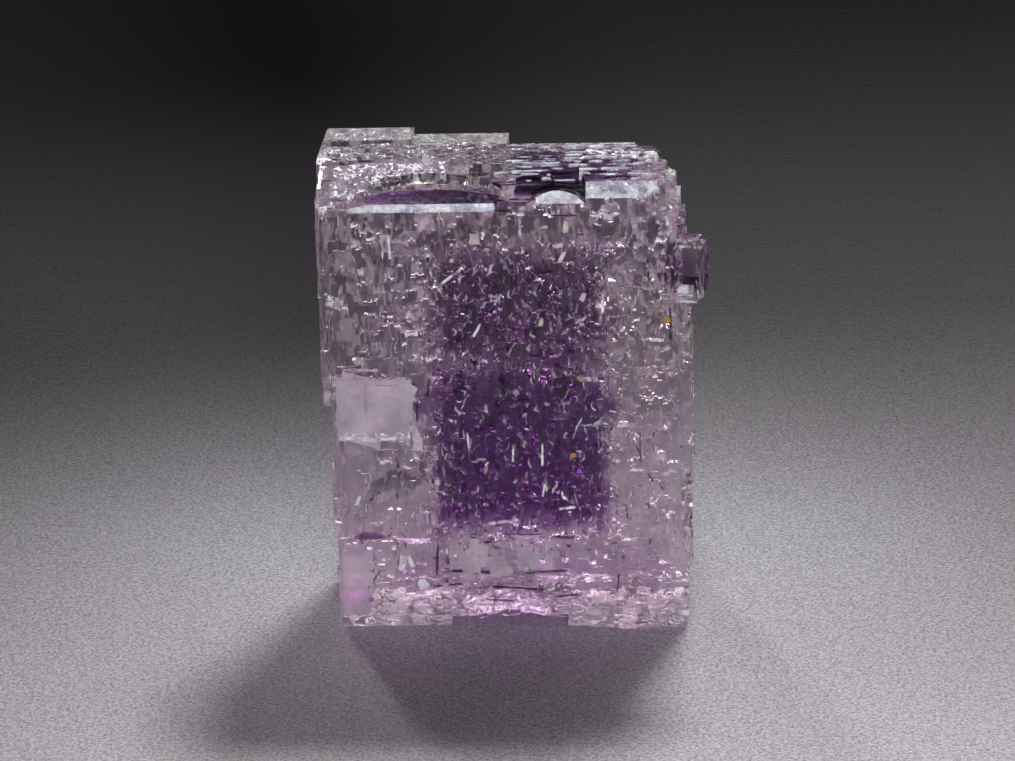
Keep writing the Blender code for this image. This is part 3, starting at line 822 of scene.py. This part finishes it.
CLEAR_AIR = 1.0
grey_purple = stone("grey_purple_zone", (1, 1, 1), CLEAR_AIR, ((0.44, 0.18, 0.50), 380.0))
deep_purple = stone("deep_purple_zone", (1, 1, 1), CLEAR_AIR, ((0.43, 0.05, 0.57), 470.0))
lilac = stone("lilac_zone", (1, 1, 1), CLEAR_AIR, ((0.62, 0.25, 0.68), 420.0))
pale_lilac = stone("pale_lilac_zone", (1, 1, 1), CLEAR_AIR, ((0.6, 0.3, 0.65), 90.0))
stair_violet = stone("stair_violet", (1, 1, 1), CLEAR_AIR, ((0.5, 0.12, 0.62), 3800.0))
violet = stone("violet_band", (1, 1, 1), CLEAR_AIR, ((0.45, 0.10, 0.58), 12000.0))
bud_violet = stone("bud_violet", (1, 1, 1), CLEAR_AIR, ((0.5, 0.12, 0.62), 700.0))
seam = stone("dark_seam", (1, 1, 1), CLEAR_AIR, ((0.3, 0.05, 0.4), 14000.0))


def colour_zone(name, x, y, z, count, smallest, largest, seed, material, inset=0.0):
    """Growth layers of one colour: a block set in from the borders, joined with many smaller ones."""
    form = bmesh.new()
    corners = (place(x[0] + inset, y[0], z[0] + inset), place(x[1] - inset, y[1], z[1] - inset))
    bmesh.ops.create_cube(form, size=1.0)
    bmesh.ops.scale(form, vec=corners[1] - corners[0], verts=form.verts)
    bmesh.ops.translate(form, vec=(corners[0] + corners[1]) / 2, verts=form.verts)
    piece = from_form(form, name)
    scatter(piece, name, x, y, z, count, smallest, largest, (2, 2, 2), seed, material, False)
    return belongs(finished(piece, name))


def colour_lens(name, middle, radii, material, spin=0.0, walls=()):
    """A flattened ball of one colour, turned by some degrees about the upright, with flat walls cut on it."""
    form = bmesh.new()
    bmesh.ops.create_uvsphere(form, u_segments=24, v_segments=12, radius=1.0)
    bmesh.ops.scale(form, vec=[radius * MM for radius in radii], verts=form.verts)
    turned = Matrix.Rotation(math.radians(spin), 3, "Z")
    bmesh.ops.rotate(form, matrix=turned, verts=form.verts)
    bmesh.ops.translate(form, vec=place(*middle), verts=form.verts)
    for point, outward in walls:
        every = form.verts[:] + form.edges[:] + form.faces[:]
        cut = bmesh.ops.bisect_plane(
            form, geom=every, plane_co=place(*point), plane_no=outward, clear_outer=True)
        rim = [item for item in cut["geom_cut"] if isinstance(item, bmesh.types.BMEdge)]
        bmesh.ops.contextual_create(form, geom=rim)
    return belongs(from_form(form, name, material))


colour_zone("purple_haze", (-3.0, 5.0), (-3.75, 2.4), (12.5, 18.1), 120,
            (0.3, 0.3, 0.3), (1.8, 1.6, 2.2), 31, grey_purple, 0.45)
colour_zone("purple_depth", (-3.6, 5.2), (-3.85, 2.4), (4.2, 12.3), 140,
            (0.3, 0.3, 0.3), (1.8, 1.6, 1.6), 32, deep_purple, 0.5)
colour_zone("purple_stair", (0.9, 6.4), (-2.6, 1.8), (20.95, 21.4), 30,
            (0.5, 0.2, 0.05), (1.8, 0.8, 0.2), 33, stair_violet)
colour_zone("purple_bud", (7.9, 9.5), (-4.45, -2.6), (16.8, 18.2), 8,
            (0.1, 0.1, 0.2), (0.3, 0.1, 0.4), 34, lilac)
colour_zone("lilac_foot", (-5.4, 7.4), (-3.6, 2.5), (1.3, 2.8), 40,
            (0.4, 0.2, 0.3), (2.0, 0.6, 1.6), 35, pale_lilac)
colour_lens("purple_lens", (-3.0, -2.75, 20.68), (3.8, 1.4, 0.3), violet,
            walls=(((0, 0, 20.72), (0, 0, -1)),))
colour_lens("purple_arch", (3.14, -2.8, 21.05), (1.3, 0.85, 0.33), violet)
colour_lens("purple_bud_end", (9.78, -3.35, 17.6), (0.06, 1.1, 1.15), bud_violet, -9)
SHELL_WALLS = (((-3.5, 0, 0), (1, 0, 0)), ((0, 0, 4.4), (0, 0, -1)))
colour_lens("lilac_shell", (-3.7, -3.4, 4.5), (3.6, 0.7, 4.1), pale_lilac, walls=SHELL_WALLS)
colour_lens("purple_crescent", (-6.5, -3.95, 4.42), (0.8, 0.07, 0.36), violet, walls=SHELL_WALLS)

# %% [markdown]
# ## Flakes inside
#
# Small cleavage cracks inside the stone catch the light as pale flakes. The scatter tree makes them
# too: with its Cut input off and no piece to join them to, it leaves loose thin bars.

# %% Flakes inside

milky = stone("milky_flake", (0.58, 0.47, 0.62), CLEAR_AIR, ((1, 1, 1), 0.0), 0.0, (0.9, (0.16, 0.10, 0.19)))


def flakes(name, x, y, z, count, smallest, largest, lean, seed):
    """Loose thin bars inside the stone."""
    piece = empty_piece(name, bpy.data.meshes.new(name))
    scatter(piece, name, x, y, z, count, smallest, largest, lean, seed, milky, False)
    return belongs(finished(piece, name))


flakes("core_flakes", (-3.5, 5.2), (-4.0, -3.0), (4.4, 18.4), 420,
       (0.03, 0.01, 0.1), (0.1, 0.03, 0.5), (50, 40, 30), 61)
flakes("rim_flakes", (-7.0, 7.8), (-3.8, -1.0), (1.5, 19.5), 140,
       (0.03, 0.01, 0.1), (0.12, 0.03, 0.6), (50, 40, 30), 62)

# %% [markdown]
# ## Marks in the skin, and painted glints
#
# The marks that catch the eye in the photograph have their own places: white spots, cream flecks in
# the upper core, and dark seams near the foot. Some white spots are pale flecks of the stone, and some
# are painted glints: white paint where light flashes off the front. Each is a small irregular bar. A ray
# finds where the stone's front is, and the bar is set there, or a little deeper for a seam.

# %% Marks in the skin


def bars(name, places, depth, thickness, material, seed):
    """Small irregular bars in the skin of the front: middle, half sizes, and a turn in degrees."""
    chance = random.Random(seed)
    form = bmesh.new()
    for x, z, across, up, turn in places:
        hit, where, _, _ = crystal.ray_cast(place(x, AHEAD, z), (0, 1, 0))
        if not hit:
            print(name, "has no stone at", x, z)
            continue
        bar = bmesh.ops.create_cube(form, size=2.0)["verts"]
        for corner in bar:
            corner.co.x *= chance.uniform(0.55, 1.2)
            corner.co.z *= chance.uniform(0.7, 1.1)
        bmesh.ops.scale(form, vec=Vector((across, thickness, up)) * MM, verts=bar)
        bmesh.ops.rotate(form, matrix=Matrix.Rotation(math.radians(turn), 3, "Y"), verts=bar)
        bmesh.ops.translate(form, vec=where + Vector((0, depth * MM, 0)), verts=bar)
    return belongs(from_form(form, name, material))


# Painted glints: this frost white is partly pale flecks of the stone and partly white paint where light
# flashes off the front.
frost = stone("frost", (0.92, 0.9, 0.96), CLEAR_AIR, ((1, 1, 1), 0.0), 0.0, (2.5, (0.55, 0.48, 0.56)))
cream = stone("cream_frost", (0.72, 0.62, 0.58), CLEAR_AIR, ((1, 1, 1), 0.0), 0.0, (2.5, (0.42, 0.34, 0.36)))
# Some of these white bars are pale flecks, and some are painted glints set where light flashes off the stone.
bars("white_flecks_and_painted_glints", (
    (-6.87, 6.44, 0.13, 0.26, 20), (-3.04, 7.46, 0.15, 0.13, 0), (-3.75, 16.25, 0.06, 0.06, 0),
    (1.2, 19.7, 0.06, 0.6, 2), (-2.1, 17.5, 0.07, 0.9, 52), (5.0, 16.1, 0.08, 0.34, 0),
    (4.1, 16.6, 0.12, 0.22, 25), (4.2, 12.5, 0.5, 0.12, 0), (-4.9, 19.0, 0.07, 0.7, -3),
    (-0.9, 15.0, 0.06, 0.4, 30), (2.0, 7.0, 0.05, 0.35, 10), (-1.5, 9.6, 0.05, 0.4, -5),
    (3.1, 6.1, 0.35, 0.06, -6), (-6.3, 17.9, 0.16, 0.12, 0), (0.6, 8.9, 0.05, 0.45, 3),
    (8.95, 16.5, 0.55, 0.24, 0), (8.75, 18.5, 0.45, 0.06, 0), (-5.6, 0.6, 0.8, 0.06, -4),
    (1.0, 4.55, 0.5, 0.05, 3), (-4.85, 3.42, 0.16, 0.36, 14), (-4.45, 3.45, 0.14, 0.34, -16),
    (-3.94, 2.25, 0.26, 0.26, -28), (8.5, 0.75, 0.28, 0.14, 5), (-0.4, 1.26, 0.13, 0.12, 0),
    (6.36, 7.9, 0.3, 0.07, 0), (6.0, 10.25, 0.42, 0.1, 0), (3.3, 2.6, 0.07, 0.07, 0),
    (-0.16, 5.4, 0.9, 0.08, -8), (1.97, 8.8, 0.06, 0.62, 2), (-7.2, 9.75, 0.42, 0.1, 0),
    (-6.3, 9.65, 0.46, 0.12, 2), (-5.3, 9.7, 0.4, 0.08, -3)), 0.0, 0.05, frost, 71)
bars("cream_spots", (
    (3.0, 19.1, 0.24, 0.1, -20), (3.15, 18.5, 0.09, 0.3, 25), (2.6, 18.35, 0.2, 0.08, -15),
    (3.4, 20.0, 0.12, 0.32, 8), (2.4, 19.9, 0.14, 0.07, 0), (-2.0, 18.4, 0.1, 0.08, 0),
    (1.0, 18.6, 0.12, 0.07, 40), (-0.9, 19.4, 0.3, 0.3, 0), (2.1, 15.4, 0.1, 0.2, 15),
    (4.0, 15.2, 0.12, 0.08, 0), (-3.1, 17.0, 0.1, 0.05, 20)), 0.0, 0.05, cream, 72)
bars("seams", (
    (0.35, 20.72, 0.62, 0.06, 0), (8.15, 15.2, 0.06, 0.85, 0), (-1.4, 2.9, 1.5, 0.07, 3),
    (1.9, 2.75, 1.3, 0.06, -4), (-2.6, 2.2, 0.9, 0.06, -5), (0.6, 2.0, 1.2, 0.05, 4),
    (3.0, 1.6, 0.8, 0.05, -6), (-0.2, 1.4, 0.7, 0.04, 2),
    (5.4, 2.3, 0.05, 0.5, 8), (-3.2, 3.4, 0.06, 0.8, 4), (2.9, 4.6, 0.6, 0.08, 0),
    (6.6, 9.0, 0.05, 0.9, 0), (-3.9, 10.9, 0.05, 0.5, 2), (-6.6, 2.0, 0.04, 1.2, 35)), 0.12, 0.08, seam, 73)

# %% [markdown]
# ## Specks of rust
#
# A few grains of yellow-brown iron ore sit in the skin.

# %% Specks of rust

ore = bpy.data.materials.new("iron_ore")
ore.use_nodes = True
shader = ore.node_tree.nodes["Principled BSDF"]
shader.inputs["Base Color"].default_value = (0.42, 0.21, 0.04, 1.0)
shader.inputs["Roughness"].default_value = 0.7
SPECK_FLAT = 0.3
SPECKS = ((3.42, 8.75, 0.16), (7.98, 15.3, 0.2), (3.8, 12.61, 0.1), (-5.4, 4.9, 0.05), (5.9, 6.2, 0.06),
          (6.6, 13.8, 0.05), (-0.6, 14.1, 0.05), (7.4, 9.9, 0.06))


def specks():
    """Small flattened balls, each set where a ray meets the stone."""
    form = bmesh.new()
    for number, (x, z, radius) in enumerate(SPECKS):
        _, where, _, _ = crystal.ray_cast(place(x, AHEAD, z), (0, 1, 0))
        ball = bmesh.ops.create_icosphere(form, subdivisions=2, radius=1.0)["verts"]
        half = Vector((1.0, SPECK_FLAT, 0.8 + 0.1 * (number % 4))) * radius * MM
        bmesh.ops.scale(form, vec=half, verts=ball)
        bmesh.ops.translate(form, vec=where, verts=ball)
    return belongs(from_form(form, "rust_specks", ore))


specks()

# %% [markdown]
# ## The floor
#
# A pale sheet with a fine tooth and short fibres, which show near the crystal and blur away behind
# it. It lies a hair under the crystal, because two faces in the same plane would fight.

# %% The floor

FLOOR_COLOUR = (0.362, 0.34, 0.366)
FLOOR_HALF = 1.5
FLOOR_DROP = 0.03 * MM
TOOTH_DEPTH = 0.05 * MM
FIBRES = 0.55  # how strongly the fibres show near the crystal
FADE_BEGINS, FADE_ENDS = 0.02, 0.09  # metres behind the crystal, where the fibres fade out

paper = bpy.data.materials.new("pale_sheet")
paper.use_nodes = True
sheet = paper.node_tree
shader = sheet.nodes["Principled BSDF"]
shader.inputs["Roughness"].default_value = 0.7
where = add(sheet, "ShaderNodeTexCoord").outputs["Object"]
tooth = add(sheet, "ShaderNodeTexNoise", {"Vector": where, "Scale": 2500.0, "Detail": 2.0})
bump = add(sheet, "ShaderNodeBump", {
    "Height": tooth.outputs["Fac"], "Distance": TOOTH_DEPTH, "Strength": 1.0})
sheet.links.new(bump.outputs[0], shader.inputs["Normal"])
fibres = add(sheet, "ShaderNodeTexNoise", {"Vector": where, "Scale": 7000.0, "Detail": 3.0})
back = add(sheet, "ShaderNodeSeparateXYZ", {0: where}).outputs["Y"]
strength = add(sheet, "ShaderNodeMapRange", {
    "Value": back, "From Min": FADE_BEGINS, "From Max": FADE_ENDS,
    "To Min": FIBRES, "To Max": 0.0}).outputs["Result"]
swing = add(sheet, "ShaderNodeMapRange", {
    "Value": fibres.outputs["Fac"], "From Min": 0.3, "From Max": 0.7,
    "To Min": -1.0, "To Max": 1.0}).outputs["Result"]
shade = math_node(sheet, "ADD", 1.0, math_node(sheet, "MULTIPLY", swing, strength))
sheet.links.new(scaled(sheet, FLOOR_COLOUR, shade), shader.inputs["Base Color"])

form = bmesh.new()
bmesh.ops.create_grid(form, x_segments=1, y_segments=1, size=FLOOR_HALF)
bmesh.ops.translate(form, vec=(0, 0, -FLOOR_DROP), verts=form.verts)
floor = from_form(form, "floor", paper)

# %% [markdown]
# ## The lights
#
# The shadow in the photograph falls to the front, so the main light stands behind the crystal. It is
# made of two boxes at different heights, because the sheet has to be dark far back and bright near
# the camera. Two weak washes even it out at the left and at the right, and a low fill in front
# opens the shadow and the frosted faces. The last three are narrow, so that they touch little but
# the crystal: two shine through it from behind, and one picks out the frost on its bevels.

# %% The lights

SMALL_BOX, LARGE_BOX = (0.03, 0.03), (0.05, 0.05)
WHITE, WARM, COOL = (1, 1, 1), (1.0, 0.98, 1.0), (0.84, 0.91, 1.0)


def softbox(name, where, aim, size, power, spread, colour=WHITE):
    """A soft rectangular light at a point, turned to face another: metres, watts and degrees."""
    data = bpy.data.lights.new(name, "AREA")
    data.shape = "RECTANGLE"
    data.size, data.size_y = size
    data.energy = power
    data.spread = math.radians(spread)
    data.color = colour
    made = empty_piece(name, data)
    made.location = where
    made.rotation_euler = (Vector(aim) - Vector(where)).to_track_quat("-Z", "Y").to_euler()
    return made


softbox("key", (0.021, 0.087, 0.133), (0.02, -0.14, 0), SMALL_BOX, 0.0554, 80.0, WARM)
softbox("key_near", (0.026, 0.108, 0.166), (-0.03, -0.2, 0), SMALL_BOX, 0.086, 60.0, WARM)
softbox("wash_left", (0.045, 0.102, 0.166), (-0.03, -0.06, 0), SMALL_BOX, 0.008, 80.0)
softbox("wash_right", (0.045, 0.102, 0.166), (0.06, 0.0, 0), SMALL_BOX, 0.007, 80.0)
softbox("fill", (0.05, -0.24, 0.045), (0, 0, 0.012), (0.06, 0.04), 0.025, 50.0)
softbox("back_left", (-0.06, 0.15, 0.10), (-0.004, 0, 0.014), LARGE_BOX, 0.0016, 8.0)
softbox("overhead", (0.0, -0.055, 0.17), (0, 0, 0.021), (0.04, 0.015), 0.0007, 9.0, COOL)
softbox("back_low", (0.12, 0.15, 0.10), (0, 0, 0.011), LARGE_BOX, 0.0005, 14.0)

ROOM = (0.012, 0.012, 0.0135, 1.0)
world = bpy.data.worlds.new("studio")
bpy.context.scene.world = world
world.use_nodes = True
world.node_tree.nodes["Background"].inputs["Color"].default_value = ROOM

# %% [markdown]
# ## Light paths
#
# Light crosses many faces before it leaves the stone, so it gets more bounces than usual.

# %% Light paths

cycles = bpy.context.scene.cycles
cycles.max_bounces = 16
cycles.transmission_bounces = 16
cycles.glossy_bounces = 8
cycles.diffuse_bounces = 4
bpy.context.scene.view_settings.view_transform = "Standard"
